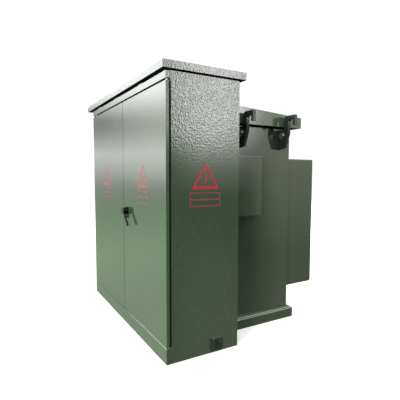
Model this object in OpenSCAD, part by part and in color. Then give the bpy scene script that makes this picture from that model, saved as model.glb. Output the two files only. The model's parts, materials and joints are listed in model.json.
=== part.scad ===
// Pad-mounted three-phase distribution transformer
// Front faces -Y, up is +Z, origin at the middle of the footprint on the ground.

/* [Cabinet] */
// Width over the side walls
cab_w = 1650; // [1600:10:1800]
// Depth from the door face to the back sheet
cab_d = 525; // [500:5:600]
// Overall height including the roof
total_h = 1800; // [1760:5:1900]
// Thickness of the roof edge
roof_t = 47; // [35:1:60]
// Roof overhang at the sides
roof_side = 48; // [30:1:60]
// Roof overhang at the front
roof_front = 40; // [25:1:50]
// Sheet thickness of cabinet and doors
sheet = 3; // [2:0.5:4]

/* [Doors] */
// Height of the sill under the doors
sill_h = 101; // [90:1:120]
// Height of the header strip over the doors
header_h = 42; // [38:1:60]
// Position of the door seam, right of the middle
seam_x = 50; // [20:5:80]
// Width of the seam between the doors
seam_gap = 5; // [4:0.5:8]
// Depth of the door pan
door_d = 25; // [24:1:28]
// Gap between the sill and the doors
door_gap = 4; // [3:0.5:5]
// Gap between the doors and the header
top_gap = 13; // [4:1:15]

/* [Handle] */
// Distance of the handle from the seam
handle_in = 88; // [85:1:110]
// Height of the handle above the ground
handle_z = 885; // [800:5:1000]
// Length of the lever
lever_len = 130; // [100:5:160]
// Travel of each latch rod for a quarter turn
rod_travel = 25.13; // [25.13:0.01:25.13]

/* [Tank] */
// Width of the tank
tank_w = 1170; // [1150:10:1200]
// Depth of the tank behind the cabinet
tank_d = 670; // [650:10:700]
// Height of the cover at the cabinet
cover_z = 1650; // [1620:5:1670]
// Fall of the cover for each unit of depth
cover_fall = 0.068; // [0.04:0.002:0.08]
// Height of the lower edge of the cover skirt
skirt_z = 1519; // [1510:1:1525]
// Overhang of the cover past the tank wall
cover_over = 65; // [55:1:75]
// Thickness of the tank wall
tank_t = 6; // [5:0.5:8]

/* [Cooling fins] */
// Number of fins
fins = 23; // [17:2:25]
// Depth of the fins behind the tank wall
fin_d = 305; // [200:5:350]
// Thickness of a fin
fin_t = 12; // [10:0.5:14]
// Bottom of the fins
fin_z0 = 235; // [220:5:300]
// Top of the fins
fin_z1 = 1283; // [1200:1:1290]

/* [High voltage side] */
// Spacing of the bushing wells
hv_pitch = 150; // [140:5:160]
// Height of the bushing wells
hv_z = 880; // [800:10:950]
// Height of the fuse housings
fuse_z = 1290; // [1250:5:1300]

/* [Low voltage side] */
// Spacing of the low voltage bushings
lv_pitch = 130; // [125:1:135]
// Height of the low voltage bushings
lv_z = 860; // [820:10:900]

/* [Hidden] */
$fn = 48;
half_w = cab_w / 2;
body_h = total_h - roof_t;
door_z0 = sill_h + door_gap;
head_z = body_h - header_h;
door_z1 = head_z - top_gap;
door_xr0 = seam_x + seam_gap / 2;
door_xl1 = seam_x - seam_gap / 2;
jamb_y = door_d + 9;
pivot_x = half_w - 14;
pivot_y = 13;
pin_r = 6;
run_fit = 0.05;
back_y = cab_d;
wall_y = back_y + tank_t;
rear_y = back_y + tank_d;
tank_hw = tank_w / 2;
fin_y1 = rear_y + fin_d;
handle_x = seam_x + handle_in;
boss_y = -28;
lever_t = 12;
front_y = -max(roof_front, lever_t - boss_y);
hub_r = 30;
sign_w = 200;
sign_z = 1064;
mid_y = (fin_y1 + front_y) / 2;
skid_h = 72;
floor_z = 66;
cover_y1 = rear_y + 60;
cover_hw = tank_hw + cover_over;
pinion_r = rod_travel / (PI / 2);
rack_x = pinion_r + 10;
latch_y = 13;
spindle_r = 8;
rod_r = 6;
fin_pitch = (tank_w - 70) / (fins - 1);
hv_x0 = -480;
fuse_x0 = -500;
fuse_pitch = 100;
switch_x = -100;
tap_z = 1080;
lv_x0 = 115;
gauge_z = 1340;
gauge_x = [190, 330, 470];
earth_y = 375;
valve_x = 520;
valve_z = 190;
relief_x = 520;
relief_z = 1180;
lug_y = [680, 1070];
lug_t = 25;
lug_bolt = [53, 1452];
coil_r = 138;
limb_pitch = 296;
core_y = (wall_y + rear_y - tank_t) / 2;
core_z0 = 150;
core_z1 = 1150;
limb_w = 120;

// Sub-part to draw

module slab(a, b) {
    translate(a)
        cube(b - a);
}

module rod_x(p, r, len) {
    translate(p)
        rotate([0, 90, 0])
            cylinder(r = r, h = len);
}

module rod_y(p, r, len, r2 = -1) {
    translate(p)
        rotate([-90, 0, 0])
            cylinder(r1 = r, r2 = r2 < 0 ? r : r2, h = len);
}

module rod_z(p, r, len) {
    translate(p)
        cylinder(r = r, h = len);
}

// Plate across the width, its outline given in Y and Z
module plate_yz(x, t, pts) {
    translate([x, 0, 0])
        rotate([90, 0, 90])
            linear_extrude(t)
                polygon(pts);
}

// Plate across the depth, its outline given in X and Z
module plate_xz(y, t, pts) {
    translate([0, y + t, 0])
        rotate([90, 0, 0])
            linear_extrude(t)
                polygon(pts);
}

module both_sides() {
    for (s = [0, 1])
        mirror([s, 0, 0])
            children();
}

module hex_bolt(r, h) {
    cylinder(r = r * 1.25, h = 2);
    translate([0, 0, 2])
        cylinder(r = r, h = h, $fn = 6);
}

// Hexagon bolt head facing the front
module bolt_front(p, r, h) {
    translate(p)
        rotate([90, 0, 0])
            hex_bolt(r, h);
}

function cover_top(y) = cover_z - cover_fall * (y - back_y);

// ---- cabinet ----

module cabinet_walls() {
    color("darkolivegreen")
        both_sides() {
            difference() {
                union() {
                    plate_yz(half_w - sheet, sheet, [[0, 0], [cab_d, 0], [cab_d, body_h],
                        [0, body_h], [0, head_z], [jamb_y, head_z], [jamb_y, sill_h], [0, sill_h]]);
                    slab([half_w - 40, jamb_y, sill_h], [half_w, jamb_y + sheet, head_z]);
                    slab([half_w - 40, jamb_y, sill_h], [half_w - 37, jamb_y + 22, head_z]);
                    slab([half_w - 60, sheet, 0], [half_w, cab_d, 5]);
                    slab([tank_hw - 20, back_y - sheet, 0], [half_w, back_y, body_h]);
                }
                for (y = [120, 400])
                    rod_z([half_w - 34, y, -1], 9, 8);
            }
        }
}

module cabinet_back() {
    color("olivedrab")
        difference() {
            slab([-tank_hw + 20, back_y - sheet, 0], [tank_hw - 20, back_y, body_h]);
            slab([-tank_hw + 25, back_y - 10, 90], [tank_hw - 25, back_y + 10, 1480]);
        }
}

module cabinet_sill() {
    color("darkolivegreen")
        difference() {
            union() {
                slab([-half_w + sheet, 0, 0], [half_w - sheet, sheet, sill_h]);
                slab([-half_w + sheet, 0, sill_h - sheet], [half_w - sheet, 40, sill_h]);
                slab([-half_w + sheet, 37, sill_h - 25], [half_w - sheet, 40, sill_h]);
                slab([-half_w + 60, 0, 0], [half_w - 60, 45, 5]);
            }
            keeper_slot(handle_x - rack_x, sill_h);
            pin_holes(sill_h - 5);
        }
}

module door_header() {
    color("darkolivegreen")
        difference() {
            union() {
                slab([-half_w + sheet, 0, head_z], [half_w - sheet, sheet, body_h]);
                slab([-half_w + sheet, 0, head_z], [half_w - sheet, 45, head_z + sheet]);
                slab([-half_w + sheet, 0, body_h - sheet], [half_w - sheet, 45, body_h]);
            }
            keeper_slot(handle_x + rack_x, head_z);
            pin_holes(head_z - 1);
        }
}

module pin_holes(z) {
    both_sides()
        rod_z([pivot_x, pivot_y, z], pin_r, 6);
}

// Slot for a latch rod through a flange near height z
module keeper_slot(x, z) {
    slab([x - 10, latch_y - 8.5, z - 5], [x + 10, latch_y + 10, z + 5]);
}

module roof() {
    x1 = half_w + roof_side;
    y1 = cab_d + 18;
    color("olivedrab") {
        difference() {
            slab([-x1, -roof_front, body_h], [x1, y1, total_h]);
            slab([-x1 + sheet, -roof_front + sheet, body_h - 1], [x1 - sheet, y1 - sheet, total_h - sheet]);
        }
        difference() {
            slab([-x1, -roof_front, body_h], [x1, y1, body_h + sheet]);
            slab([-x1 + 44, -roof_front + 36, body_h - 1], [x1 - 44, y1 - 20, body_h + 5]);
        }
    }
}

module roof_rails() {
    color("dimgray") {
        both_sides()
            slab([half_w - 45, 50, body_h - 40], [half_w - sheet, cab_d - sheet, total_h - sheet]);
        for (x = [-280, 280])
            slab([x - 25, 46, body_h + sheet], [x + 25, cab_d - 4, total_h - sheet]);
    }
}

module roof_screws() {
    color("silver")
        both_sides()
            for (y = [110, 280, 450])
                translate([half_w - 45, y, body_h - 20])
                    rotate([0, -90, 0])
                        hex_bolt(8, 6);
}

module hinge_pins() {
    color("silver")
        both_sides() {
            rod_z([pivot_x, pivot_y, sill_h - sheet], pin_r, 24 + sheet);
            rod_z([pivot_x, pivot_y, sill_h], 10, door_gap - 0.4);
            rod_z([pivot_x, pivot_y, door_z1 - 18], pin_r, 18 + top_gap + sheet);
        }
}

module barrier() {
    bx = door_xl1 - 8;
    color("ivory") {
        slab([bx, jamb_y + 8, 8], [bx + sheet, back_y - sheet, head_z]);
        slab([bx, back_y - 25, 8], [bx + 25, back_y - sheet, head_z]);
    }
}

// ---- doors ----

module door_pan(x0, x1) {
    difference() {
        slab([x0, 0, door_z0], [x1, door_d, door_z1]);
        slab([x0 + sheet, sheet, door_z0 + sheet], [x1 - sheet, door_d - sheet, door_z1 - sheet]);
        slab([x0 + 20, sheet, door_z0 + 20], [x1 - 20, door_d + 1, door_z1 - 20]);
    }
}

module pivot_bores(x) {
    rod_z([x, pivot_y, door_z0 - 1], 10, 24);
    rod_z([x, pivot_y, door_z1 - 23], 10, 24);
}

module right_door() {
    color("darkolivegreen")
        difference() {
            door_pan(door_xr0, half_w);
            pivot_bores(pivot_x);
            rod_y([handle_x, -1, handle_z], 12, sheet + 2);
            rod_z([handle_x - rack_x, latch_y, door_z0 - 1], rod_r + 3, 6);
            rod_z([handle_x + rack_x, latch_y, door_z1 - 5], rod_r + 3, 6);
        }
}

module left_door() {
    color("darkolivegreen")
        difference() {
            door_pan(-half_w, door_xl1);
            pivot_bores(-pivot_x);
        }
}

module bushing_pair(x) {
    difference() {
        union() {
            rod_z([x, pivot_y, door_z0], 10, 22);
            rod_z([x, pivot_y, door_z1 - 22], 10, 22);
        }
        rod_z([x, pivot_y, door_z0 - 1], pin_r + run_fit, 24);
        rod_z([x, pivot_y, door_z1 - 23], pin_r + run_fit, 24);
    }
}

module door_bushings_right() {
    color("goldenrod")
        bushing_pair(pivot_x);
}

module door_bushings_left() {
    color("goldenrod")
        bushing_pair(-pivot_x);
}

// Hat-section stiffener welded behind the door skin
module hat_section(x) {
    difference() {
        union() {
            slab([x - 30, sheet, 170], [x + 30, sheet + 2, 1630]);
            slab([x - 18, sheet, 170], [x + 18, 20, 1630]);
        }
        slab([x - 16, sheet - 1, 160], [x + 16, 18, 1640]);
    }
}

module right_stiffeners() {
    color("olivedrab")
        for (x = [330, 580])
            hat_section(x);
}

module left_stiffeners() {
    color("olivedrab")
        for (x = [-620, -390, -160])
            hat_section(x);
}

module gasket_ring(x0, x1) {
    difference() {
        slab([x0 + 3, door_d, door_z0 + 3], [x1 - 7, door_d + 7, door_z1 - 3]);
        slab([x0 + 17, door_d - 1, door_z0 + 17], [x1 - 21, door_d + 8, door_z1 - 17]);
    }
}

module right_gasket() {
    color("black")
        gasket_ring(door_xr0, half_w);
}

module left_gasket() {
    color("black")
        mirror([1, 0, 0])
            gasket_ring(-door_xl1, half_w);
}

// ---- handle and latch ----

module handle_boss() {
    color("black")
        difference() {
            union() {
                rod_y([handle_x, -12, handle_z], hub_r, 12);
                plate_xz(-5, 5, [[handle_x - 9, handle_z - 54], [handle_x + 9, handle_z - 54],
                    [handle_x + 16, handle_z - 20], [handle_x - 16, handle_z - 20]]);
                rod_y([handle_x, -26, handle_z - 43], 3.5, 24);
            }
            rod_y([handle_x, -20, handle_z], spindle_r + run_fit, 30);
        }
}

module handle_lever() {
    color("black")
        translate([handle_x, 0, handle_z]) {
            difference() {
                rod_y([0, boss_y, 0], hub_r, -boss_y - 12.5);
                rod_y([0, boss_y - 1, 0], spindle_r, 40);
            }
            translate([0, boss_y, 0])
                rotate([90, 0, 0])
                    linear_extrude(lever_t) {
                        circle(r = hub_r - 4);
                        rotate(-45) {
                            translate([0, -9])
                                square([lever_len, 18]);
                            translate([lever_len, 0])
                                circle(r = 11);
                        }
                    }
        }
}

// Flat tooth from x0 to x1, with its half widths at each end
module tooth(x0, x1, root, tip) {
    polygon([[x0, -root], [x1, -tip], [x1, tip], [x0, root]]);
}

// Spindle through the door with its ten-tooth pinion
module latch_spindle() {
    color("silver") {
        rod_y([handle_x, boss_y, handle_z], spindle_r, 20.5 - boss_y);
        translate([handle_x, latch_y + 5, handle_z])
            rotate([90, 0, 0])
                linear_extrude(10) {
                    circle(r = pinion_r - 3);
                    for (i = [0:9])
                        rotate(i * 36)
                            tooth(0, pinion_r + 2, 2.6, 1.1);
                }
    }
}

// Flat rack with teeth facing the pinion, on a round rod
module latch_rack() {
    pitch = pinion_r * PI / 5;
    plate_xz(latch_y - 5, 10, [[pinion_r + 3, -44], [rack_x + 6, -44], [rack_x + 6, 44],
        [pinion_r + 3, 44]]);
    translate([0, latch_y + 5, 0])
        rotate([90, 0, 0])
            linear_extrude(10)
                for (i = [-4:3])
                    translate([0, (i + 0.5) * pitch])
                        mirror([1, 0])
                            tooth(-pinion_r - 4, -pinion_r + 2, 2.4, 1.1);
}

module upper_rod() {
    color("silver")
        translate([handle_x, 0, 0]) {
            translate([0, 0, handle_z])
                latch_rack();
            rod_z([rack_x, latch_y, handle_z + 40], rod_r, door_z1 - 2 - handle_z - 40);
        }
}

module lower_rod() {
    z0 = door_z0 + 2;
    color("silver")
        translate([handle_x, 0, 0]) {
            translate([0, 0, handle_z])
                mirror([1, 0, 0])
                    latch_rack();
            rod_z([-rack_x, latch_y, z0], rod_r, handle_z - 40 - z0);
        }
}

module rod_guide(x, z) {
    difference() {
        slab([x - 14, sheet, z], [x + 14, door_d - 3, z + 24]);
        rod_z([x, latch_y, z - 1], rod_r + run_fit, 26);
    }
}

module rod_guides() {
    color("dimgray") {
        for (z = [1100, 1400, door_z1 - 45])
            rod_guide(handle_x + rack_x, z);
        for (z = [door_z0 + 21, 400, 680])
            rod_guide(handle_x - rack_x, z);
    }
}

// ---- signs: plain triangle over a plain ruled panel, in X and Z of the sign ----

module sign_shape(w) {
    difference() {
        polygon([[-w * 0.5, 0], [w * 0.5, 0], [0, w * 0.83]]);
        polygon([[-w * 0.37, w * 0.09], [w * 0.37, w * 0.09], [0, w * 0.704]]);
    }
    translate([-w * 0.03, w * 0.18])
        square([w * 0.06, w * 0.28]);
    translate([-w * 0.55, -w * 0.54])
        difference() {
            square([w * 1.1, w * 0.44]);
            for (z = [0.035, 0.245])
                translate([w * 0.025, w * z])
                    square([w * 1.05, w * 0.165]);
        }
}

module sign_front(x) {
    translate([x, 0, sign_z])
        rotate([90, 0, 0])
            linear_extrude(0.5)
                sign_shape(sign_w);
}

module sign_right() {
    color("red")
        sign_front(450);
}

module sign_left() {
    color("red")
        sign_front(-385);
}

module sign_side() {
    color("red")
        translate([half_w, 270, sign_z])
            rotate([90, 0, 90])
                linear_extrude(0.5)
                    sign_shape(sign_w);
}

// ---- cabinet foot ----

module earth_bracket() {
    color("darkgreen")
        both_sides() {
            slab([half_w, 314, 12], [half_w + 5, 402, 92]);
            slab([half_w, 317, 33], [half_w + 34, 325, 98]);
            translate([half_w + 5, earth_y, 54])
                rotate([0, 90, 0])
                    hex_bolt(11, 9);
            rod_x([half_w + 5, earth_y + 15, 27], 6, 6);
        }
}

// ---- tank ----

module tank_section(inset, z0, drop) {
    plate_yz(-tank_hw + inset, tank_w - 2 * inset, [[back_y + inset, z0],
        [rear_y - inset, z0], [rear_y - inset, cover_top(rear_y - inset) - drop],
        [back_y + inset, cover_top(back_y + inset) - drop]]);
}

module tank_flange() {
    y0 = back_y + 2;
    y1 = rear_y + 40;
    difference() {
        plate_yz(-tank_hw - 40, tank_w + 80, [[y0, cover_top(y0) - 22], [y1, cover_top(y1) - 22],
            [y1, cover_top(y1) - 12], [y0, cover_top(y0) - 12]]);
        slab([-tank_hw + 20, back_y + 30, 1400], [tank_hw - 20, rear_y - 20, 1700]);
        cover_bolt_holes();
    }
}

module wall_holes() {
    for (i = [0:2]) {
        rod_y([hv_x0 + i * hv_pitch, back_y - 5, hv_z], 36, 20);
        rod_y([fuse_x0 + i * fuse_pitch, back_y - 5, fuse_z], 22, 20);
    }
    for (i = [0:3])
        rod_y([lv_x0 + i * lv_pitch, back_y - 5, lv_z], 30, 20);
    for (z = [fuse_z, tap_z])
        rod_y([switch_x, back_y - 5, z], 15, 20);
    rod_y([valve_x, back_y - 5, valve_z], 17, 20);
    rod_y([relief_x, back_y - 5, relief_z], 10, 20);
}

module tank_shell() {
    color("darkolivegreen") {
        difference() {
            tank_section(0, floor_z, 14);
            tank_section(tank_t, floor_z + tank_t, 0);
            wall_holes();
            for (i = [0:fins - 1])
                slab([fin_x(i) - fin_t / 2 + 2, rear_y - 10, fin_z0 + 12],
                    [fin_x(i) + fin_t / 2 - 2, rear_y + 1, fin_z1 - 12]);
        }
        tank_flange();
    }
}

function fin_x(i) = (i - (fins - 1) / 2) * fin_pitch;

module tank_skid() {
    x1 = tank_hw + 45;
    y0 = back_y + 16;
    y1 = rear_y + 27;
    color("darkolivegreen")
        difference() {
            union() {
                slab([-x1, y0, 0], [x1, y1, skid_h]);
                slab([-tank_hw - 22, y0, skid_h], [tank_hw + 22, rear_y + 12, skid_h + 10]);
            }
            slab([-tank_hw + 60, y0 + 60, -1], [tank_hw - 60, rear_y - 60, skid_h + 20]);
            tank_section(-0.1, floor_z - 0.1, 0);
        }
}

module tank_cover() {
    y0 = back_y + 1;
    color("darkolivegreen")
        difference() {
            plate_yz(-cover_hw, 2 * cover_hw, [[y0, skirt_z], [cover_y1, skirt_z],
                [cover_y1, cover_top(cover_y1)], [y0, cover_top(y0)]]);
            plate_yz(-cover_hw + 5, 2 * cover_hw - 10, [[y0 - 5, skirt_z - 20],
                [cover_y1 - 5, skirt_z - 20],
                [cover_y1 - 5, cover_top(cover_y1 - 5) - 6], [y0 - 5, cover_top(y0 - 5) - 6]]);
            cover_bolt_holes();
        }
}

module cover_gasket() {
    y0 = back_y + 6;
    y1 = rear_y + 34;
    color("black")
        difference() {
            plate_yz(-tank_hw - 34, tank_w + 68, [[y0, cover_top(y0) - 12],
                [y1, cover_top(y1) - 12], [y1, cover_top(y1) - 6.02], [y0, cover_top(y0) - 6.02]]);
            slab([-tank_hw + 14, back_y + 26, 1400], [tank_hw - 14, rear_y - 14, 1700]);
            cover_bolt_holes();
        }
}

// Places its children square to the cover at each bolt
module at_cover_bolts() {
    for (p = concat([for (x = [-600, 600], k = [0:4]) [x, 660 + k * 130]],
        [for (k = [-2:2]) [k * 200, rear_y + 18]]))
        translate([p[0], p[1], cover_top(p[1])])
            rotate([-atan(cover_fall), 0, 0])
                children();
}

// Heavy bolt across each lifting lug
module lug_bolts() {
    both_sides()
        for (y = lug_y)
            translate([tank_hw + lug_bolt[0], y, lug_bolt[1]]) {
                bolt_front([0, 0, 0], 20, 14);
                rod_y([0, 0, 0], 10.5, lug_t + 22);
                rod_y([0, lug_t, 0], 20, 16);
            }
}

module tank_bolts() {
    color("silver") {
        at_cover_bolts() {
            hex_bolt(11, 9);
            translate([0, 0, -36])
                cylinder(r = 6, h = 36);
            translate([0, 0, -34])
                cylinder(r = 11, h = 9, $fn = 6);
        }
        lug_bolts();
    }
}

module cover_bolt_holes() {
    at_cover_bolts()
        translate([0, 0, -40])
            cylinder(r = 6.5, h = 50);
}

// Hook plate standing out from the tank wall and up past the cover skirt
module lifting_lug(y) {
    x0 = tank_hw;
    xs = cover_hw + 8;
    xe = x0 + 115;
    xt = x0 + 184;
    difference() {
        plate_xz(y, lug_t, [[x0, 1348], [x0 + 74, 1359], [xe, 1462], [xe, 1557], [xe + 24, 1575],
            [xe + 44, 1576], [xt - 20, 1566], [xt - 20, 1525], [xt, 1524], [xt, 1600],
            [xs + 32, 1600], [xs + 12, 1596], [xs, 1582], [xs, 1500], [x0, 1500]]);
        rod_y([x0 + lug_bolt[0], y - 1, lug_bolt[1]], 10.5, lug_t + 2);
    }
}

module lifting_lugs() {
    color("darkslategray")
        both_sides()
            for (y = lug_y)
                lifting_lug(y);
}

module side_box() {
    color("darkolivegreen") {
        difference() {
            slab([tank_hw, back_y + 2, 850], [tank_hw + 45, 882, 1285]);
            slab([tank_hw - 1, back_y + 5, 853], [tank_hw + 42, 879, 1286]);
        }
        slab([tank_hw, back_y + 2, 1285], [tank_hw + 50, 888, 1289]);
    }
}

module fin_body(x) {
    slab([x - fin_t / 2, rear_y, fin_z0 + 8], [x + fin_t / 2, fin_y1 - 6, fin_z1 - 8]);
    rod_z([x, fin_y1 - 6, fin_z0 + 8], fin_t / 2, fin_z1 - fin_z0 - 16);
    slab([x - 2, rear_y, fin_z0], [x + 2, fin_y1 - 6, fin_z1]);
}

// Hollow fins, each open to the tank at its front edge
module cooling_fins() {
    color("darkolivegreen")
        for (i = [0:fins - 1])
            difference() {
                fin_body(fin_x(i));
                slab([fin_x(i) - fin_t / 2 + 2, rear_y - 1, fin_z0 + 12],
                    [fin_x(i) + fin_t / 2 - 2, fin_y1 - 12, fin_z1 - 12]);
            }
}

// ---- high voltage side ----

module hv_wells() {
    color("sienna")
        for (i = [0:2])
            translate([hv_x0 + i * hv_pitch, back_y, hv_z]) {
                difference() {
                    union() {
                        rod_y([0, -12, 0], 55, 12);
                        rod_y([0, -60, 0], 33, 48, 40);
                        rod_y([0, -1, 0], 35, 90, 22);
                    }
                    rod_y([0, -61, 0], 22, 60, 16);
                }
                for (a = [45:90:315])
                    rotate([0, a, 0])
                        bolt_front([44, -12, 0], 7, 6);
            }
}

module hv_inserts() {
    color("darkslategray")
        for (i = [0:2])
            translate([hv_x0 + i * hv_pitch, back_y, hv_z]) {
                rod_y([0, -61, 0], 22, 59, 16.1);
                rod_y([0, -72, 0], 34, 12);
                rod_y([0, -170, 0], 21, 98, 28);
            }
}

module hv_caps() {
    color("firebrick")
        for (i = [0:2])
            translate([hv_x0 + i * hv_pitch, back_y, hv_z]) {
                difference() {
                    rod_y([0, -190, 0], 32, 116, 37);
                    rod_y([0, -171, 0], 21.2, 99, 28.2);
                }
                translate([0, -203, 0])
                    rotate([0, 90, 0])
                        rotate_extrude()
                            translate([14, 0])
                                circle(r = 4);
            }
}

module fuse_housings() {
    color("gray")
        for (i = [0:2])
            translate([fuse_x0 + i * fuse_pitch, back_y, fuse_z])
                difference() {
                    union() {
                        rod_y([0, -12, 0], 34, 12);
                        rod_y([0, -60, 0], 24, 48);
                        rod_y([0, -1, 0], 20, 240);
                    }
                    rod_y([0, -61, 0], 13 + run_fit, 296);
                }
}

module fuse_holder(i) {
    color("dimgray")
        translate([fuse_x0 + i * fuse_pitch, back_y, fuse_z]) {
            rod_y([0, -70, 0], 13, 290);
            rod_y([0, -82, 0], 22, 20);
            translate([0, -100, 0])
                rotate([0, 90, 0])
                    rotate_extrude()
                        translate([16, 0])
                            circle(r = 5);
        }
}

module fuse_holder_a() {
    fuse_holder(0);
}

module fuse_holder_b() {
    fuse_holder(1);
}

module fuse_holder_c() {
    fuse_holder(2);
}

// Fixed boss with a round stop plate, bored for a handle shaft
module shaft_boss(z) {
    difference() {
        union() {
            rod_y([switch_x, back_y - 6, z], 48, 6);
            rod_y([switch_x, back_y - 32, z], 20, 30);
        }
        rod_y([switch_x, back_y - 40, z], 10 + run_fit, 50);
    }
}

module switch_handle() {
    color("gold")
        translate([switch_x, back_y, fuse_z]) {
            rod_y([0, -60, 0], 10, 100);
            rod_y([0, -60, 0], 24, 26);
            slab([-9, -52, 0], [9, -40, 96]);
            translate([0, -46, 108])
                rotate([90, 0, 0])
                    rotate_extrude()
                        translate([16, 0])
                            circle(r = 5);
        }
}

module shaft_bosses() {
    color("gray") {
        shaft_boss(fuse_z);
        shaft_boss(tap_z);
        for (a = [-72:36:72])
            translate([switch_x, back_y - 6, tap_z])
                rotate([0, a, 0])
                    rod_y([0, -1.5, 40], 3, 2);
    }
}

module tap_handle() {
    color("black")
        translate([switch_x, back_y, tap_z])
            rotate([0, -72, 0]) {
                rod_y([0, -60, 0], 10, 100);
                rod_y([0, -60, 0], 24, 26);
                slab([-7, -56, -44], [7, -42, 58]);
            }
}

// ---- low voltage side ----

module lv_bushings() {
    color("saddlebrown")
        for (i = [0:3])
            translate([lv_x0 + i * lv_pitch, back_y, lv_z])
                difference() {
                    union() {
                        rod_y([0, -14, 0], 46, 14);
                        rod_y([0, -90, 0], 24, 76, 30);
                        for (y = [-34, -54, -74])
                            rod_y([0, y, 0], 38, 7, 32);
                        rod_y([0, -1, 0], 28, 50, 24);
                    }
                    rod_y([0, -91, 0], 13, 150);
                }
}

module lv_spade() {
    difference() {
        slab([-7, -240, -26], [7, -130, 26]);
        for (y = [-222, -178], z = [-12, 12])
            rod_x([-8, y, z], 7, 16);
    }
}

module lv_terminals() {
    color("peru")
        for (i = [0:3])
            translate([lv_x0 + i * lv_pitch, back_y, lv_z]) {
                rod_y([0, -131, 0], 12.9, 200);
                rod_y([0, -104, 0], 22, 13);
                lv_spade();
            }
}

module neutral_strap() {
    color("peru") {
        slab([lv_x0 + 7, back_y - 236, lv_z - 22], [lv_x0 + 10, back_y - 136, lv_z - 2]);
        slab([lv_x0 + 7, back_y - 139, lv_z - 260], [lv_x0 + 27, back_y - 136, lv_z - 2]);
        slab([lv_x0 + 7, back_y - 139, lv_z - 260], [lv_x0 + 27, back_y - 12, lv_z - 257]);
    }
}

// ---- gauges and fittings ----

module gauges() {
    color("dimgray")
        for (x = gauge_x)
            translate([x, back_y, gauge_z])
                difference() {
                    union() {
                        rod_y([0, -34, 0], 50, 28);
                        rod_y([0, -8, 0], 30, 8);
                    }
                    rod_y([0, -40, 0], 44, 14);
                    rod_y([0, -30, 0], 2 + run_fit, 20);
                }
}

// Pointer of gauge k, turned to its resting angle
module pointer(k, angle) {
    color("red")
        translate([gauge_x[k], back_y - 30, gauge_z])
            rotate([0, angle, 0]) {
                rod_y([0, -1, 0], 5, 2);
                rod_y([0, 0, 0], 2, 16);
                plate_xz(-1, 1.5, [[-3, -8], [3, -8], [1, 36], [-1, 36]]);
            }
}

module level_pointer() {
    pointer(0, -20);
}

module temperature_pointer() {
    pointer(1, -75);
}

module pressure_pointer() {
    pointer(2, 10);
}

module tank_fittings() {
    color("dimgray") {
        for (x = [-150, 215])
            difference() {
                slab([x - 32, back_y - 20, 150], [x + 32, back_y, 196]);
                for (dx = [-22.2, 22.2])
                    rod_y([x + dx, back_y - 21, 173], 6.5, 20);
            }
        slab([lv_x0 - 5, back_y - 12, lv_z - 280], [lv_x0 + 39, back_y, lv_z - 240]);
        rod_y([120, back_y - 26, 1430], 20, 26);
        bolt_front([120, back_y - 26, 1430], 15, 16);
        difference() {
            union() {
                rod_y([relief_x, back_y - 46, relief_z], 16, 46);
                rod_y([relief_x, back_y - 16, relief_z], 22, 16);
            }
            rod_y([relief_x, back_y - 50, relief_z], 5 + run_fit, 44);
        }
    }
}

module relief_ring() {
    color("gold")
        translate([relief_x, back_y, relief_z]) {
            rod_y([0, -58, 0], 5, 40);
            rod_y([0, -60, 0], 9, 8);
            translate([0, -74, 0])
                rotate([0, 90, 0])
                    rotate_extrude()
                        translate([15, 0])
                            circle(r = 2.5);
        }
}

module drain_valve() {
    color("goldenrod")
        translate([valve_x, back_y, valve_z])
            difference() {
                union() {
                    rod_y([0, -90, 0], 17, 95);
                    rod_y([0, -12, 0], 26, 12);
                    rod_z([0, -50, 0], 15, 46);
                    rod_y([0, -104, 0], 24, 20);
                }
                rod_z([0, -50, -6], 6 + run_fit, 60);
            }
}

module valve_wheel() {
    color("firebrick")
        translate([valve_x, back_y - 50, valve_z]) {
            rod_z([0, 0, -4], 6, 74);
            rod_z([0, 0, 50], 12, 22);
            translate([0, 0, 62])
                rotate_extrude()
                    translate([36, 0])
                        circle(r = 5);
            for (a = [0:72:288])
                rotate(a)
                    slab([6, -4, 59], [34, 4, 65]);
        }
}

module rating_plate() {
    color("silver") {
        slab([240, back_y - 2, 1060], [440, back_y, 1200]);
        for (x = [250, 430], z = [1070, 1190])
            rod_y([x, back_y - 4, z], 3, 3);
    }
}

// ---- inside the tank ----

module core() {
    d = 75;
    x1 = limb_pitch + limb_w / 2;
    color("slategray") {
        translate([0, core_y, 0]) {
            difference() {
                slab([-x1, -d, core_z0], [x1, d, core_z1]);
                for (x = [-1, 0])
                    slab([x * limb_pitch + limb_w / 2, -d - 1, core_z0 + limb_w],
                        [(x + 1) * limb_pitch - limb_w / 2, d + 1, core_z1 - limb_w]);
            }
            for (z = [core_z0 + 15, core_z1 - 105], s = [-1, 1])
                slab([-x1 - 20, s * (d + 12) - 12, z], [x1 + 20, s * (d + 12) + 12, z + 90]);
            for (x = [-x1 + 20, x1 - 60])
                slab([x, -d - 60, floor_z + tank_t], [x + 40, d + 60, core_z0 + 20]);
        }
    }
}

module windings() {
    color("peru")
        for (k = [-1:1])
            translate([k * limb_pitch, core_y, core_z0 + limb_w + 20])
                difference() {
                    union() {
                        cylinder(r = coil_r, h = 700);
                        translate([0, 0, -12])
                            cylinder(r = coil_r - 30, h = 724);
                    }
                    translate([0, 0, -20])
                        cylinder(r = 98, h = 760);
                }
}

// Rods joined by balls along a path
module lead(r, path) {
    for (i = [0:len(path) - 2]) {
        d = path[i + 1] - path[i];
        translate(path[i]) {
            sphere(r = r);
            if (d[0] != 0)
                mirror([d[0] < 0 ? 1 : 0, 0, 0])
                    rod_x([0, 0, 0], r, abs(d[0]));
            if (d[1] != 0)
                rod_y([0, 0, 0], r, d[1]);
            if (d[2] != 0)
                mirror([0, 0, d[2] < 0 ? 1 : 0])
                    rod_z([0, 0, 0], r, abs(d[2]));
        }
    }
}

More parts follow.
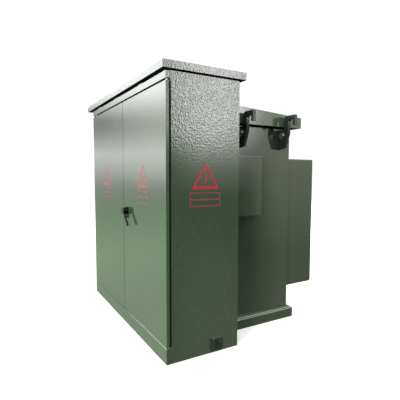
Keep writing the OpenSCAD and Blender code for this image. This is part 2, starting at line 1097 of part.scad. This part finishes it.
module leads() {
    coil_x = [-limb_pitch + 40, -limb_pitch, 0, limb_pitch];
    top = core_z0 + limb_w + 720;
    color("peru") {
        for (i = [0:2]) {
            x = hv_x0 + i * hv_pitch;
            y = 690 - i * 25;
            lead(4, [[x, back_y + 94, hv_z], [x, y, hv_z], [coil_x[i + 1], y, hv_z],
                [coil_x[i + 1], core_y - coil_r, hv_z]]);
        }
        for (i = [0:3]) {
            x = lv_x0 + i * lv_pitch;
            z = top + 30 + i * 25;
            lead(7, [[x, back_y + 77, lv_z], [x, 618, lv_z], [x, 618, z], [coil_x[i], 618, z],
                [coil_x[i], 738, z], [coil_x[i], 738, top + 7]]);
        }
    }
}

translate([0, -mid_y, 0]) {
    cabinet_walls();
    cabinet_back();
    cabinet_sill();
    door_header();
    roof();
    roof_rails();
    roof_screws();
    hinge_pins();
    barrier();
    right_door();
    right_stiffeners();
    right_gasket();
    left_door();
    left_stiffeners();
    left_gasket();
    door_bushings_right();
    door_bushings_left();
    handle_boss();
    handle_lever();
    latch_spindle();
    upper_rod();
    lower_rod();
    rod_guides();
    sign_right();
    sign_left();
    sign_side();
    earth_bracket();
    tank_shell();
    tank_skid();
    tank_cover();
    cover_gasket();
    tank_bolts();
    lifting_lugs();
    side_box();
    cooling_fins();
    hv_wells();
    hv_inserts();
    hv_caps();
    fuse_housings();
    fuse_holder_a();
    fuse_holder_b();
    fuse_holder_c();
    shaft_bosses();
    switch_handle();
    tap_handle();
    lv_bushings();
    lv_terminals();
    neutral_strap();
    gauges();
    level_pointer();
    temperature_pointer();
    pressure_pointer();
    tank_fittings();
    relief_ring();
    drain_valve();
    valve_wheel();
    rating_plate();
    core();
    windings();
    leads();
}
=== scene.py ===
import json
import math

import bmesh
import bpy
from mathutils import Matrix, Vector


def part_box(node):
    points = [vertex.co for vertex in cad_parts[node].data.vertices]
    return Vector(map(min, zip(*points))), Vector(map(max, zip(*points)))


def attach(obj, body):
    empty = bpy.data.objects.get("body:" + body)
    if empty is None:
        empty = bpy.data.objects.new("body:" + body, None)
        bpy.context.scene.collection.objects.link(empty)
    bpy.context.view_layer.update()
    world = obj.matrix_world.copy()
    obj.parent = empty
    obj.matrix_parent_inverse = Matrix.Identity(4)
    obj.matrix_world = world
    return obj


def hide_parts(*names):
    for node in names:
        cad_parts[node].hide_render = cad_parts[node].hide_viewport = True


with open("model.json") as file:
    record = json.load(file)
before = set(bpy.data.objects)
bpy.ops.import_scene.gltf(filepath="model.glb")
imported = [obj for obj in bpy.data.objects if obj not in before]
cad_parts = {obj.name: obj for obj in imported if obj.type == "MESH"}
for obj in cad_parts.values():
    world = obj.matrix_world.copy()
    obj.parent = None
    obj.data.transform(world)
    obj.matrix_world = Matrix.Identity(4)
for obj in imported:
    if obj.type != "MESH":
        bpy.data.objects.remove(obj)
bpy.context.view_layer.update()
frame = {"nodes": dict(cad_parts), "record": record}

NODES = frame["nodes"]
SLOT = {s["node"]: s.get("material_slot", s["node"]) for s in frame["record"]["subparts"]}
BODY = {n: b for b, members in frame["record"]["behaviour"]["bodies"].items() for n in members}
DOORS = ("right_door", "left_door")
scene = bpy.context.scene

# The y of the door face, where the CAD measures its depths from
DOOR_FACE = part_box("right_door")[0][1]


def fy(depth):
    """Depth behind the door face, as the row frame's y."""
    return depth + DOOR_FACE


# ---------------------------------------------------------------- shader nodes

def new_material(name):
    mat = bpy.data.materials.new(name)
    mat.use_nodes = True
    tree = mat.node_tree
    return mat, tree, tree.nodes["Principled BSDF"]


def node(tree, kind, **values):
    """A shader node with these inputs or settings."""
    n = tree.nodes.new(kind)
    for key, value in values.items():
        if key in n.inputs:
            n.inputs[key].default_value = value
        else:
            setattr(n, key, value)
    return n


def coords(tree, scale=(1, 1, 1)):
    """Place on the object in metres, stretched by scale."""
    tc = node(tree, "ShaderNodeTexCoord")
    mp = node(tree, "ShaderNodeMapping")
    mp.inputs["Scale"].default_value = scale
    tree.links.new(tc.outputs["Object"], mp.inputs["Vector"])
    return mp.outputs["Vector"]


def split(tree, vector):
    """The X, Y and Z outputs of a vector."""
    n = node(tree, "ShaderNodeSeparateXYZ")
    tree.links.new(vector, n.inputs["Vector"])
    return n.outputs


def noise(tree, vector, scale, detail=2.0, rough=0.5):
    n = node(tree, "ShaderNodeTexNoise", Scale=scale, Detail=detail, Roughness=rough)
    tree.links.new(vector, n.inputs["Vector"])
    return n.outputs["Fac"]


def product(tree, a, b):
    m = node(tree, "ShaderNodeMath", operation="MULTIPLY")
    tree.links.new(a, m.inputs[0])
    tree.links.new(b, m.inputs[1])
    return m.outputs[0]


def ramp(tree, fac, stops):
    """Colours at places from 0 to 1, blended between them."""
    r = node(tree, "ShaderNodeValToRGB")
    elements = r.color_ramp.elements
    while len(elements) < len(stops):
        elements.new(0.5)
    for element, (place, colour) in zip(elements, stops):
        element.position = place
        element.color = (*colour, 1)
    tree.links.new(fac, r.inputs["Fac"])
    return r.outputs["Color"]


def mix(tree, fac, a, b, blend="MIX"):
    """Blends from a to b. Each of fac, a and b is a value or a socket."""
    m = node(tree, "ShaderNodeMix", data_type="RGBA", blend_type=blend)
    if isinstance(fac, float):
        m.inputs[0].default_value = fac
    else:
        tree.links.new(fac, m.inputs[0])
    for socket, colour in ((m.inputs[6], a), (m.inputs[7], b)):
        if isinstance(colour, tuple):
            socket.default_value = (*colour, 1)
        else:
            tree.links.new(colour, socket)
    return m.outputs[2]


def span(tree, value, lo, hi, to_lo=0.0, to_hi=1.0):
    """Maps lo to to_lo and hi to to_hi, and stops at both ends."""
    m = node(tree, "ShaderNodeMapRange")
    m.inputs["From Min"].default_value = lo
    m.inputs["From Max"].default_value = hi
    m.inputs["To Min"].default_value = to_lo
    m.inputs["To Max"].default_value = to_hi
    tree.links.new(value, m.inputs["Value"])
    return m.outputs["Result"]


def bump_from(tree, bsdf, layers):
    """Chains bump layers: (height socket, distance in metres, strength)."""
    normal = None
    for height, distance, strength in layers:
        b = node(tree, "ShaderNodeBump", Strength=strength, Distance=distance)
        tree.links.new(height, b.inputs["Height"])
        if normal is not None:
            tree.links.new(normal, b.inputs["Normal"])
        normal = b.outputs["Normal"]
    tree.links.new(normal, bsdf.inputs["Normal"])


def shade(rgb, k):
    return tuple(min(1.0, c * k) for c in rgb)


# ---------------------------------------------------------------- materials

GREEN = (0.068, 0.105, 0.060)
# Pale tone of the painted highlight along the top of the sill
HIGHLIGHT_PALE = (0.50, 0.55, 0.47)
GRIME = (0.18, 0.186, 0.144)
# Heights above the ground: grime fades out at the first, orange peel coarsens between the others
GRIME_TOP = 0.55
PEEL_LOW, PEEL_HIGH = 1.12, 1.62
# The painted highlight along the top of the sill fades in over this length
HIGHLIGHT_FADE = 0.3
# Where the doors meet, and where the painted highlight along the top of the sill begins
SEAM_X = (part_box("right_door")[0][0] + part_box("left_door")[1][0]) / 2
SILL_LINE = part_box("cabinet_sill")[1][2] - 0.0045
# The signs all hang at one height: a triangle over a ruled panel
SIGN_LOW, SIGN_HIGH = (corner[2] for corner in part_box("sign_side"))
PANEL_TOP = SIGN_LOW + 0.37 * (SIGN_HIGH - SIGN_LOW)


def enamel(name, rgb, rough=0.10, spec=1.0, peel=0.0002, peel_scale=85, wave=0.0008, dust=0.12, thick=1.0,
           highlight_band=None):
    """Sprayed enamel: orange peel, slow colour drift, faint grime low down.

    thick multiplies the peel where it is coarsest.
    The (x, z) pair sets a painted highlight: right of x and above z the paint is drawn as a pale band of
    highlight.
    """
    mat, tree, bsdf = new_material(name)
    vec = coords(tree)
    place = split(tree, vec)

    base = mix(tree, noise(tree, vec, 1.7, 3.0), shade(rgb, 0.88), shade(rgb, 1.12))
    speck = ramp(tree, noise(tree, vec, 34.0, 3.0), [(0.35, (0.93, 0.93, 0.93)), (0.65, (1.05, 1.05, 1.05))])
    base = mix(tree, 1.0, base, speck, "MULTIPLY")
    low = span(tree, place["Z"], 0.0, GRIME_TOP, dust, 0.0)
    base = mix(tree, product(tree, low, noise(tree, vec, 6.0, 5.0, 0.65)), base, GRIME)
    # Painted highlight: a pale band right of x and above z
    if highlight_band:
        right_of, above = highlight_band
        along = span(tree, place["X"], right_of, right_of + HIGHLIGHT_FADE)
        up = span(tree, place["Z"], above - 0.001, above)
        base = mix(tree, product(tree, along, up), base, HIGHLIGHT_PALE)
    tree.links.new(base, bsdf.inputs["Base Color"])

    smears = span(tree, noise(tree, vec, 9.0, 2.0), 0.3, 0.7, rough * 0.85, rough * 1.2)
    tree.links.new(smears, bsdf.inputs["Roughness"])
    bsdf.inputs["Specular IOR Level"].default_value = spec

    heavy = span(tree, place["Z"], PEEL_LOW, PEEL_HIGH, 0.25, thick)
    bump_from(tree, bsdf, [
        (noise(tree, vec, 2.6, 1.0), wave, 1.0),
        (product(tree, heavy, noise(tree, vec, peel_scale, 2.0)), peel, 1.0),
    ])
    return mat


def metal(name, rgb, rough, brush=(1, 1, 1)):
    """Plain or plated metal with slight staining and fine grain, drawn out where brush is large."""
    mat, tree, bsdf = new_material(name)
    grit = noise(tree, coords(tree, brush), 180.0, 3.0)
    cloud = noise(tree, coords(tree), 14.0, 4.0, 0.6)
    tree.links.new(mix(tree, cloud, shade(rgb, 0.65), shade(rgb, 1.08)), bsdf.inputs["Base Color"])
    tree.links.new(span(tree, grit, 0.25, 0.75, rough * 0.8, rough * 1.3), bsdf.inputs["Roughness"])
    bsdf.inputs["Metallic"].default_value = 1.0
    bump_from(tree, bsdf, [(grit, 0.00008, 0.6)])
    return mat


def moulded(name, rgb, rough, grain=260.0, depth=0.00006, spec=0.5, stain=0.18):
    """Rubber, epoxy or plastic: fine moulded grain and cloudy tone."""
    mat, tree, bsdf = new_material(name)
    vec = coords(tree)
    cloud = noise(tree, vec, 11.0, 4.0, 0.6)
    base = mix(tree, cloud, shade(rgb, 1.0 - stain), shade(rgb, 1.0 + stain))
    tree.links.new(base, bsdf.inputs["Base Color"])
    tree.links.new(span(tree, cloud, 0.3, 0.7, rough * 0.85, rough * 1.15), bsdf.inputs["Roughness"])
    bsdf.inputs["Specular IOR Level"].default_value = spec
    bump_from(tree, bsdf, [(noise(tree, vec, grain, 2.0), depth, 1.0)])
    return mat


def stencil(name, rgb, under, spec):
    """Thin sign paint: rgb where it took, the enamel under it where it wore off, fainter on the panel."""
    worn_from, worn_to = 0.54, 0.78
    panel_strength, panel_fade = 0.55, 0.004
    mat, tree, bsdf = new_material(name)
    vec = coords(tree)
    patch = noise(tree, vec, 46.0, 5.0, 0.7)
    kept = span(tree, patch, worn_from, worn_to, 1.0, 0.0)
    strength = span(tree, split(tree, vec)["Z"], PANEL_TOP - panel_fade, PANEL_TOP, panel_strength, 1.0)
    tree.links.new(mix(tree, product(tree, kept, strength), under, rgb), bsdf.inputs["Base Color"])
    tree.links.new(span(tree, patch, 0.3, 0.7, 0.22, 0.38), bsdf.inputs["Roughness"])
    bsdf.inputs["Specular IOR Level"].default_value = spec
    bump_from(tree, bsdf, [
        (noise(tree, vec, 2.6, 1.0), 0.0012, 1.0),
        (noise(tree, vec, 85.0, 2.0), 0.00022, 1.0),
    ])
    return mat


M = {
    "paint_green": enamel("paint_green", GREEN),
    # A tenth darker than the doors' green: painted shade on the cabinet's side walls, with coarser orange
    # peel
    "paint_green_thick": enamel("paint_green_thick", shade(GREEN, 0.9), peel_scale=90, thick=8.0),
    "paint_bracket": enamel("paint_bracket", (0.030, 0.047, 0.030), rough=0.34, spec=0.35, dust=0.05),
    # The sill carries a painted highlight along its top edge, right of the door seam
    "paint_sill": enamel("paint_sill", GREEN, highlight_band=(SEAM_X, SILL_LINE)),
    "paint_ground": enamel("paint_ground", (0.052, 0.080, 0.046), rough=0.42, spec=0.3, dust=0.3),
    # Darker than the cabinet's green: painted shade for the tank and its fins, which sit under the cover and
    # behind the cabinet
    "paint_tank": enamel("paint_tank", (0.036, 0.062, 0.031)),
    # Pale green for the painted highlights on the upward edges of the skid and the side box
    "paint_green_highlight": enamel("paint_green_highlight", (0.34, 0.39, 0.33), rough=0.2, dust=0.0),
    "paint_roof": enamel("paint_roof", (0.045, 0.062, 0.042), peel_scale=90, thick=7.0),
    # Near-black matte: painted shade under the roof and along the joint of the doors
    "shade_black": moulded("shade_black", (0.006, 0.008, 0.007), 0.8, spec=0.05),
    # Near-black green: painted shade, the lugs sitting in shadow under the cover
    "paint_lug": enamel("paint_lug", (0.014, 0.022, 0.017), rough=0.32, spec=0.5, wave=0.0004),
    # The side sign shows the side walls' darker green where it wore off, painted shade included
    "paint_red": stencil("paint_red", (0.55, 0.015, 0.04), shade(GREEN, 0.9), 0.45),
    "paint_red_worn": stencil("paint_red_worn", (0.46, 0.05, 0.06), GREEN, 0.6),
    "black_paint": enamel("black_paint", (0.003, 0.0033, 0.0033), rough=0.2, spec=0.35, wave=0.0002,
                          peel=0.0001, dust=0.0),
    "dial_white": moulded("dial_white", (0.74, 0.73, 0.68), 0.35, grain=300.0, depth=0.00002, stain=0.05),
    "zinc_steel": metal("zinc_steel", (0.60, 0.61, 0.59), 0.34),
    "dark_steel": metal("dark_steel", (0.30, 0.31, 0.31), 0.45),
    "bronze": metal("bronze", (0.62, 0.42, 0.18), 0.36),
    "copper": metal("copper", (0.72, 0.40, 0.26), 0.3, brush=(1, 6, 1)),
    "rubber_black": moulded("rubber_black", (0.018, 0.018, 0.018), 0.7),
    "seal_black": moulded("seal_black", (0.004, 0.004, 0.004), 0.6, spec=0.1),
    "epoxy_brown": moulded("epoxy_brown", (0.16, 0.060, 0.032), 0.16, depth=0.00002, spec=0.6),
    "epdm_grey": moulded("epdm_grey", (0.035, 0.037, 0.038), 0.55),
    "cap_red": moulded("cap_red", (0.38, 0.035, 0.028), 0.45),
    "grey_paint": enamel("grey_paint", (0.24, 0.25, 0.245), rough=0.3, wave=0.0002, dust=0.0),
    "yellow_handle": moulded("yellow_handle", (0.72, 0.44, 0.04), 0.4),
    "red_wheel": enamel("red_wheel", (0.36, 0.03, 0.025), rough=0.3, wave=0.0002, dust=0.0),
    "board": moulded("board", (0.50, 0.46, 0.37), 0.6, grain=90.0, depth=0.00015),
    "plate_alu": metal("plate_alu", (0.74, 0.74, 0.72), 0.32, brush=(1, 1, 12)),
    "core_steel": metal("core_steel", (0.30, 0.32, 0.35), 0.5, brush=(1, 40, 1)),
}
# Nodes whose material isn't the one that their slot names
LOOK = {"cabinet_walls": "paint_green_thick", "tank_shell": "paint_tank", "cooling_fins": "paint_tank",
        "tank_skid": "paint_ground", "cabinet_sill": "paint_sill", "earth_bracket": "paint_bracket"}
# Nodes whose upward-facing edges carry a painted highlight in a pale material: the material, the least upward
# tilt and the highest level of such an edge
HIGHLIGHT_EDGES = {
    "tank_skid": ("paint_green_highlight", 0.2, 0.075),
    "side_box": ("paint_green_highlight", 0.2, 2.0),
}


# ---------------------------------------------------------------- pieces

def link(obj):
    scene.collection.objects.link(obj)
    return obj


def from_bmesh(name, bm):
    """Makes a linked object of a bmesh, and frees the bmesh."""
    mesh = bpy.data.meshes.new(name)
    bm.to_mesh(mesh)
    bm.free()
    return link(bpy.data.objects.new(name, mesh))


def paint(obj, slot, look=None):
    """Gives a piece its slot, and that slot's material unless look names another."""
    obj.data.materials.clear()
    obj.data.materials.append(M[look or slot])


def second_material(obj, picks):
    """The faces that picks says yes to take the piece's second material."""
    for poly in obj.data.polygons:
        if picks(poly):
            poly.material_index = 1


def finish_edges(obj, width, segments=2, highlighted=None):
    """Rounds every sheet edge and keeps the flats flat; edges with a painted highlight take a second, pale
    material.
    """
    bev = obj.modifiers.new("edges", "BEVEL")
    bev.width = width
    bev.segments = segments
    bev.limit_method = "ANGLE"
    bev.angle_limit = math.radians(32)
    bev.use_clamp_overlap = True
    if highlighted:
        look, least_tilt, highest = highlighted
        obj.data.materials.append(M[look])
        bev.material = 1
    for poly in obj.data.polygons:
        poly.use_smooth = True
    flats = obj.modifiers.new("flats", "WEIGHTED_NORMAL")
    flats.keep_sharp = True
    flats.weight = 80
    dg = bpy.context.evaluated_depsgraph_get()
    mesh = bpy.data.meshes.new_from_object(obj.evaluated_get(dg))
    obj.modifiers.clear()
    obj.data = mesh
    # Only bevels tilted upward, and low enough, keep the painted highlight
    if highlighted:
        for poly in mesh.polygons:
            if poly.normal.z < least_tilt or poly.center.z > highest:
                poly.material_index = 0


def clean_mesh(source):
    """A copy of a CAD mesh with its doubled points and its flat seams taken out."""
    bm = bmesh.new()
    bm.from_mesh(source)
    bmesh.ops.remove_doubles(bm, verts=bm.verts, dist=2e-6)
    bmesh.ops.dissolve_limit(bm, angle_limit=math.radians(0.6), verts=bm.verts, edges=bm.edges)
    mesh = bpy.data.meshes.new("refined")
    bm.to_mesh(mesh)
    bm.free()
    return mesh


def shaded_underside(obj):
    """The hidden lower faces of the roof take a near-black matte material as painted shade, and the enamel
    doesn't mirror the roof.
    """
    obj.data.materials.append(M["shade_black"])
    second_material(obj, lambda poly: poly.normal.z < -0.5)
    obj.visible_glossy = False


def dark_seam(obj):
    """Painted shade: a near-black material on the edges at the joint of the doors, where the gap shows as a
    dark line of shadow.
    """
    reach = 0.006
    obj.data.materials.append(M["shade_black"])
    second_material(obj, lambda poly: abs(poly.center.x - SEAM_X) < reach)


def bright_lip(obj):
    """The thin lid edge of the side box takes the pale painted-highlight material all round."""
    lip_height = 0.005
    lip_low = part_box("side_box")[1][2] - lip_height
    second_material(obj, lambda poly: poly.center.z > lip_low)


LAST_TOUCH = {"right_door": dark_seam, "left_door": dark_seam, "side_box": bright_lip, "roof": shaded_underside}


def refined(name, width):
    """A CAD node with its folded and cut edges rounded."""
    obj = link(bpy.data.objects.new(name + "_piece", clean_mesh(NODES[name].data)))
    paint(obj, SLOT[name], LOOK.get(name))
    finish_edges(obj, width, highlighted=HIGHLIGHT_EDGES.get(name))
    if name in LAST_TOUCH:
        LAST_TOUCH[name](obj)
    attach(obj, BODY[name])
    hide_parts(name)


# Width of the rounded edge, for each node that a refined copy stands for
EDGES = {
    "cabinet_walls": 0.0012, "cabinet_back": 0.001, "cabinet_sill": 0.005, "door_header": 0.0012,
    "roof": 0.0028, "roof_rails": 0.001, "right_door": 0.003, "left_door": 0.003,
    "right_stiffeners": 0.0008, "left_stiffeners": 0.0008, "barrier": 0.0006,
    "tank_shell": 0.002, "tank_skid": 0.003, "tank_cover": 0.0024, "lifting_lugs": 0.0022,
    "side_box": 0.004, "cooling_fins": 0.0012, "handle_boss": 0.0016, "handle_lever": 0.0022,
    "earth_bracket": 0.0012, "lv_terminals": 0.0012, "tap_handle": 0.002, "switch_handle": 0.002,
    "shaft_bosses": 0.001, "gauges": 0.0015, "tank_fittings": 0.0012, "drain_valve": 0.0015,
    "hv_caps": 0.0025, "hv_wells": 0.0015, "lv_bushings": 0.0018, "fuse_housings": 0.0015,
    "rating_plate": 0.0004, "neutral_strap": 0.0004, "core": 0.001, "rod_guides": 0.001,
}
for name, width in EDGES.items():
    refined(name, width)

# The other nodes keep their CAD mesh and take the material of their slot
for name, obj in NODES.items():
    if name not in EDGES:
        obj.data.materials.clear()
        obj.data.materials.append(M[SLOT[name]])


# ---- black edge trims of the doors, which also stand in for the shade in the gap at each hinge side

# Depth of the trim's front edge, its width front to back, how far it stands out, and the gap at its ends
TRIM_DEPTH = 0.0205
TRIM_WIDTH = 0.008
TRIM_PROUD = 0.0012
TRIM_END_GAP = 0.002


def seal_shade_trim(door, side):
    """Black rubber edge trim on the rear lip of a door's hinge side, dark also to stand for the shadow in the
    gap there as painted shade. side is 1 on the right, -1 on the left.
    """
    low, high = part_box(door)
    z0, z1 = low[2] + TRIM_END_GAP, high[2] - TRIM_END_GAP
    lip_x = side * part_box("cabinet_walls")[1][0]
    bm = bmesh.new()
    bmesh.ops.create_cube(bm, size=1.0)
    bmesh.ops.scale(bm, vec=(2 * TRIM_PROUD, TRIM_WIDTH, z1 - z0), verts=bm.verts)
    middle = (lip_x, fy(TRIM_DEPTH) + TRIM_WIDTH / 2, (z0 + z1) / 2)
    bmesh.ops.translate(bm, vec=middle, verts=bm.verts)
    obj = from_bmesh(door + "_seal_shade_trim", bm)
    paint(obj, "rubber_black", "seal_black")
    finish_edges(obj, 0.001, segments=3)
    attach(obj, BODY[door])


for door, side in zip(DOORS, (1, -1)):
    seal_shade_trim(door, side)


# ---- dials of the gauges

DIAL_INNER, DIAL_OUTER, DIAL_THICK = 0.0035, 0.0435, 0.0005
# How far the floor of a gauge's well lies behind the gauge's rim
DIAL_RECESS = 0.008
# Radius where every tick ends, and its thickness; then each kind's starting radius and width
TICK_END, TICK_THICK = 0.041, 0.0009
LONG_TICK = (0.033, 0.0014)
SHORT_TICK = (0.037, 0.0008)
SCALE_SWEEP = math.radians(240)
SCALE_STEPS = 20


def dial_ring(bm, centre, steps=48):
    """A flat ring standing on the plane y = centre.y, facing -Y."""
    section = ((DIAL_INNER, -DIAL_THICK), (DIAL_OUTER, -DIAL_THICK), (DIAL_OUTER, 0.0), (DIAL_INNER, 0.0))
    turn = [2 * math.pi * i / steps for i in range(steps)]
    loops = []
    for radius, y in section:
        points = [centre + Vector((radius * math.cos(a), y, radius * math.sin(a))) for a in turn]
        loops.append([bm.verts.new(point) for point in points])
    for a, b in zip(loops, loops[1:] + loops[:1]):
        for i in range(steps):
            j = (i + 1) % steps
            bm.faces.new((a[i], a[j], b[j], b[i]))


def scale_ticks(bm, centre):
    """Graduations round the dial, every fifth one long."""
    for i in range(SCALE_STEPS + 1):
        start, width = SHORT_TICK if i % 5 else LONG_TICK
        place = (Matrix.Translation(centre) @ Matrix.Rotation(SCALE_SWEEP * (i / SCALE_STEPS - 0.5), 4, "Y")
                 @ Matrix.Translation((0, -TICK_THICK / 2, (start + TICK_END) / 2))
                 @ Matrix.Diagonal((width, TICK_THICK, TICK_END - start, 1)))
        bmesh.ops.create_cube(bm, size=1.0, matrix=place)


def gauge_detail(name, slot, look, draw):
    """One mesh over all three gauges: draw adds a gauge's share to it."""
    low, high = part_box("gauges")
    rim = (high[2] - low[2]) / 2
    bm = bmesh.new()
    for x in (low[0] + rim, (low[0] + high[0]) / 2, high[0] - rim):
        draw(bm, Vector((x, low[1] + DIAL_RECESS, low[2] + rim)))
    bmesh.ops.recalc_face_normals(bm, faces=bm.faces)
    obj = from_bmesh(name, bm)
    paint(obj, slot, look)
    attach(obj, BODY["gauges"])


gauge_detail("gauge_dials", SLOT["gauges"], "dial_white", dial_ring)
gauge_detail("gauge_ticks", "black_paint", "black_paint", scale_ticks)


# ---------------------------------------------------------------- camera

# Solved from the photo's perspective: heading from +Y towards -X, then downward tilt, then roll
CAMERA_AT = (2.7588, fy(-0.8968), 1.1566)
CAMERA_HEADING, CAMERA_DOWN, CAMERA_ROLL = 59.763, 4.046, 0.138

cam_data = bpy.data.cameras.new("camera")
cam_data.sensor_width = 36.0
cam_data.lens = 32.65
cam = link(bpy.data.objects.new("camera", cam_data))
cam.location = CAMERA_AT
cam.rotation_euler = (Matrix.Rotation(math.radians(CAMERA_HEADING), 4, "Z")
                      @ Matrix.Rotation(math.radians(90 - CAMERA_DOWN), 4, "X")
                      @ Matrix.Rotation(math.radians(CAMERA_ROLL), 4, "Z")).to_euler("XYZ")
scene.camera = cam


# ---------------------------------------------------------------- lights

def softbox(name, where, target, size, power):
    """A large soft light; the enamel mirrors the surroundings, not the light."""
    data = bpy.data.lights.new(name, "AREA")
    data.shape = "RECTANGLE"
    data.size, data.size_y = size
    data.energy = power
    obj = link(bpy.data.objects.new(name, data))
    obj.location = where
    obj.rotation_euler = (Vector(target) - Vector(where)).to_track_quat("-Z", "Y").to_euler()
    obj.visible_glossy = False


softbox("key_box", (3.3, fy(-3.9), 2.4), (0.7, fy(0.4), 0.8), (1.6, 1.4), 190)
softbox("fill_box", (-4.5, -3.6, 1.6), (0.0, fy(0.0), 0.8), (2.4, 2.0), 60)
softbox("rear_box", (-3.2, 5.2, 2.6), (0.0, 0.0, 0.8), (2.4, 2.0), 220)


# ---------------------------------------------------------------- surroundings

# Seen directly the surroundings are plain white. As light they are a soft dome, brightest overhead.
# Mirrored in the enamel they are dark below the horizon and brighter above it, in tones set for
# what each face of the object mirrors to the camera, and dull on the camera's own side.
SKY_STRENGTH = 7.0
WHITE = 1.05 / SKY_STRENGTH
world = bpy.data.worlds.new("studio")
scene.world = world
world.use_nodes = True
wt = world.node_tree
toward = node(wt, "ShaderNodeTexCoord").outputs["Generated"]
around = node(wt, "ShaderNodeTexGradient", gradient_type="RADIAL")
wt.links.new(toward, around.inputs["Vector"])
path = node(wt, "ShaderNodeLightPath")


def tones(stops):
    """The stops with every colour written out; a grey may be given as one number."""
    return [(at, c if isinstance(c, tuple) else (c, c, c)) for at, c in stops]


def by_elevation(stops):
    """Tone at each number of degrees above the horizon."""
    return ramp(wt, span(wt, split(wt, toward)["Z"], -1.0, 1.0),
                tones([((math.sin(math.radians(a)) + 1) / 2, c) for a, c in stops]))


def by_azimuth(stops):
    """Tone at each number of degrees round from +X towards +Y."""
    return ramp(wt, around.outputs["Fac"], tones([(a / 360 + 0.5, c) for a, c in stops]))


dome = by_elevation([(0, 0.0), (90, 0.28)])
# What the side wall of the cabinet mirrors
right_sky = by_elevation([
    (-90, 0.025), (-15, 0.026), (-10, 0.012), (-3, 0.0), (-2, 0.025), (0.5, 0.08), (3, 0.18), (5.5, 0.45),
    (8, 0.98), (16, 1.0), (22, 0.95), (50, 0.8), (90, 0.35)])
# What the tank and the fins mirror
tank_sky = by_elevation([
    (-90, 0.07), (-12, 0.07), (-8, 0.10), (0, 0.15), (3, 0.19), (7, 0.20), (10, 0.25), (16, 0.35), (50, 0.5),
    (90, 0.35)])
# What the right door mirrors, blending into the next tones towards the left door
front_sky = by_elevation([
    (-90, (0.08, 0.11, 0.07)), (-20, (0.10, 0.135, 0.09)), (-12, (0.113, 0.168, 0.106)),
    (-7, (0.088, 0.135, 0.085)), (-4.5, (0.09, 0.12, 0.08)), (-3, 0.12), (-2, 0.15), (0.5, 0.30), (3, 0.40),
    (4, 0.38), (6.5, 0.28), (8, 0.26), (9, 0.32), (10.5, 0.43), (12.5, 0.63), (16, 0.72), (50, 0.72),
    (90, 0.35)])
# What the left door mirrors
left_sky = by_elevation([
    (-90, (0.06, 0.08, 0.05)), (-20, (0.065, 0.085, 0.06)), (-12, (0.078, 0.112, 0.07)),
    (-7, (0.06, 0.09, 0.055)), (-4.5, (0.063, 0.08, 0.055)), (-2, 0.08), (0.5, 0.155), (3, 0.225), (4, 0.175),
    (6.5, 0.075), (8, 0.065), (9.5, 0.17), (10.5, 0.28), (12, 0.40), (13.5, 0.54), (50, 0.54), (90, 0.35)])
# Strength round the object: the side wall mirrors about 25 to 36 degrees, the tank to 44, the fins to 48
level = by_azimuth([
    (-180, 1.0), (-154, 1.0), (-138, 0.7), (-110, 0.2), (-40, 0.2), (0, 0.3), (25.5, 0.13), (26.5, 0.3),
    (28, 0.62), (29.5, 0.82), (31.5, 0.96), (35, 1.0), (37, 0.6), (40.5, 0.6), (42.5, 1.0), (44.5, 0.8),
    (60, 0.8), (90, 0.5), (150, 0.5), (179, 1.0)])

ahead = mix(wt, by_azimuth([(-165, 0.0), (-155, 1.0)]), left_sky, front_sky)
bright_right = mix(wt, 1.0, right_sky, (1.4, 1.4, 1.4), "MULTIPLY")
warm_tank = mix(wt, 1.0, tank_sky, (1.0, 1.05, 0.86), "MULTIPLY")
beside = mix(wt, by_azimuth([(36.5, 0.0), (40.5, 1.0)]), bright_right, warm_tank)
sky = mix(wt, by_azimuth([(-110, 0.0), (-60, 1.0), (120, 1.0), (175, 0.0)]), ahead, beside)
mirrored = mix(wt, 1.0, sky, level, "MULTIPLY")
seen = mix(wt, path.outputs["Is Glossy Ray"], dome, mirrored)
back = wt.nodes["Background"]
wt.links.new(mix(wt, path.outputs["Is Camera Ray"], seen, (WHITE, WHITE, WHITE)), back.inputs["Color"])
back.inputs["Strength"].default_value = SKY_STRENGTH


# ---------------------------------------------------------------- floor

FLOOR_RADIUS = 14.0
FLOOR_DROP = 0.0005
FLOOR_GLOW = 0.3


def pale_floor():
    """Off-white ground with a faint glow."""
    mat, tree, bsdf = new_material("floor_pale")
    tone = mix(tree, noise(tree, coords(tree), 0.8, 2.0), (0.86, 0.86, 0.86), (0.90, 0.90, 0.895))
    tree.links.new(tone, bsdf.inputs["Base Color"])
    bsdf.inputs["Roughness"].default_value = 0.85
    bsdf.inputs["Emission Color"].default_value = (1, 1, 1, 1)
    bsdf.inputs["Emission Strength"].default_value = FLOOR_GLOW
    return mat


bm = bmesh.new()
bmesh.ops.create_circle(bm, cap_ends=True, segments=96, radius=FLOOR_RADIUS)
floor = from_bmesh("floor", bm)
floor.location = (0, 0, -FLOOR_DROP)
floor.data.materials.append(pale_floor())
# No piece mirrors the floor or takes light from it
floor.visible_glossy = False
floor.visible_diffuse = False

scene.view_settings.view_transform = "Standard"
scene.view_settings.look = "None"
